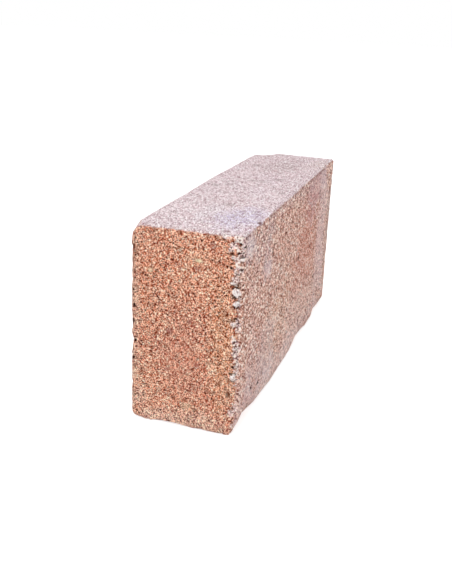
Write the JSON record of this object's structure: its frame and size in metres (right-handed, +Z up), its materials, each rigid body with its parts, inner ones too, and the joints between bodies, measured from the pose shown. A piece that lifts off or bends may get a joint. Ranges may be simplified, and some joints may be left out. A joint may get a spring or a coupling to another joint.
{
  "type": "firebrick",
  "caption": "Rectangular fired clay brick standing on its long edge, with rough ends, pressed sides and worn, chipped arrises.",
  "frame": {"origin": "middle of the underside that the brick stands on", "axes": "+X along the brick, +Y through its thickness, +Z up"},
  "size_m": [0.22, 0.06, 0.11],
  "materials": {
    "fireclay": "rough, unglazed, open-grained"
  },
  "bodies": {
    "root": {"firebrick": "fireclay"}
  },
  "joints": []
}
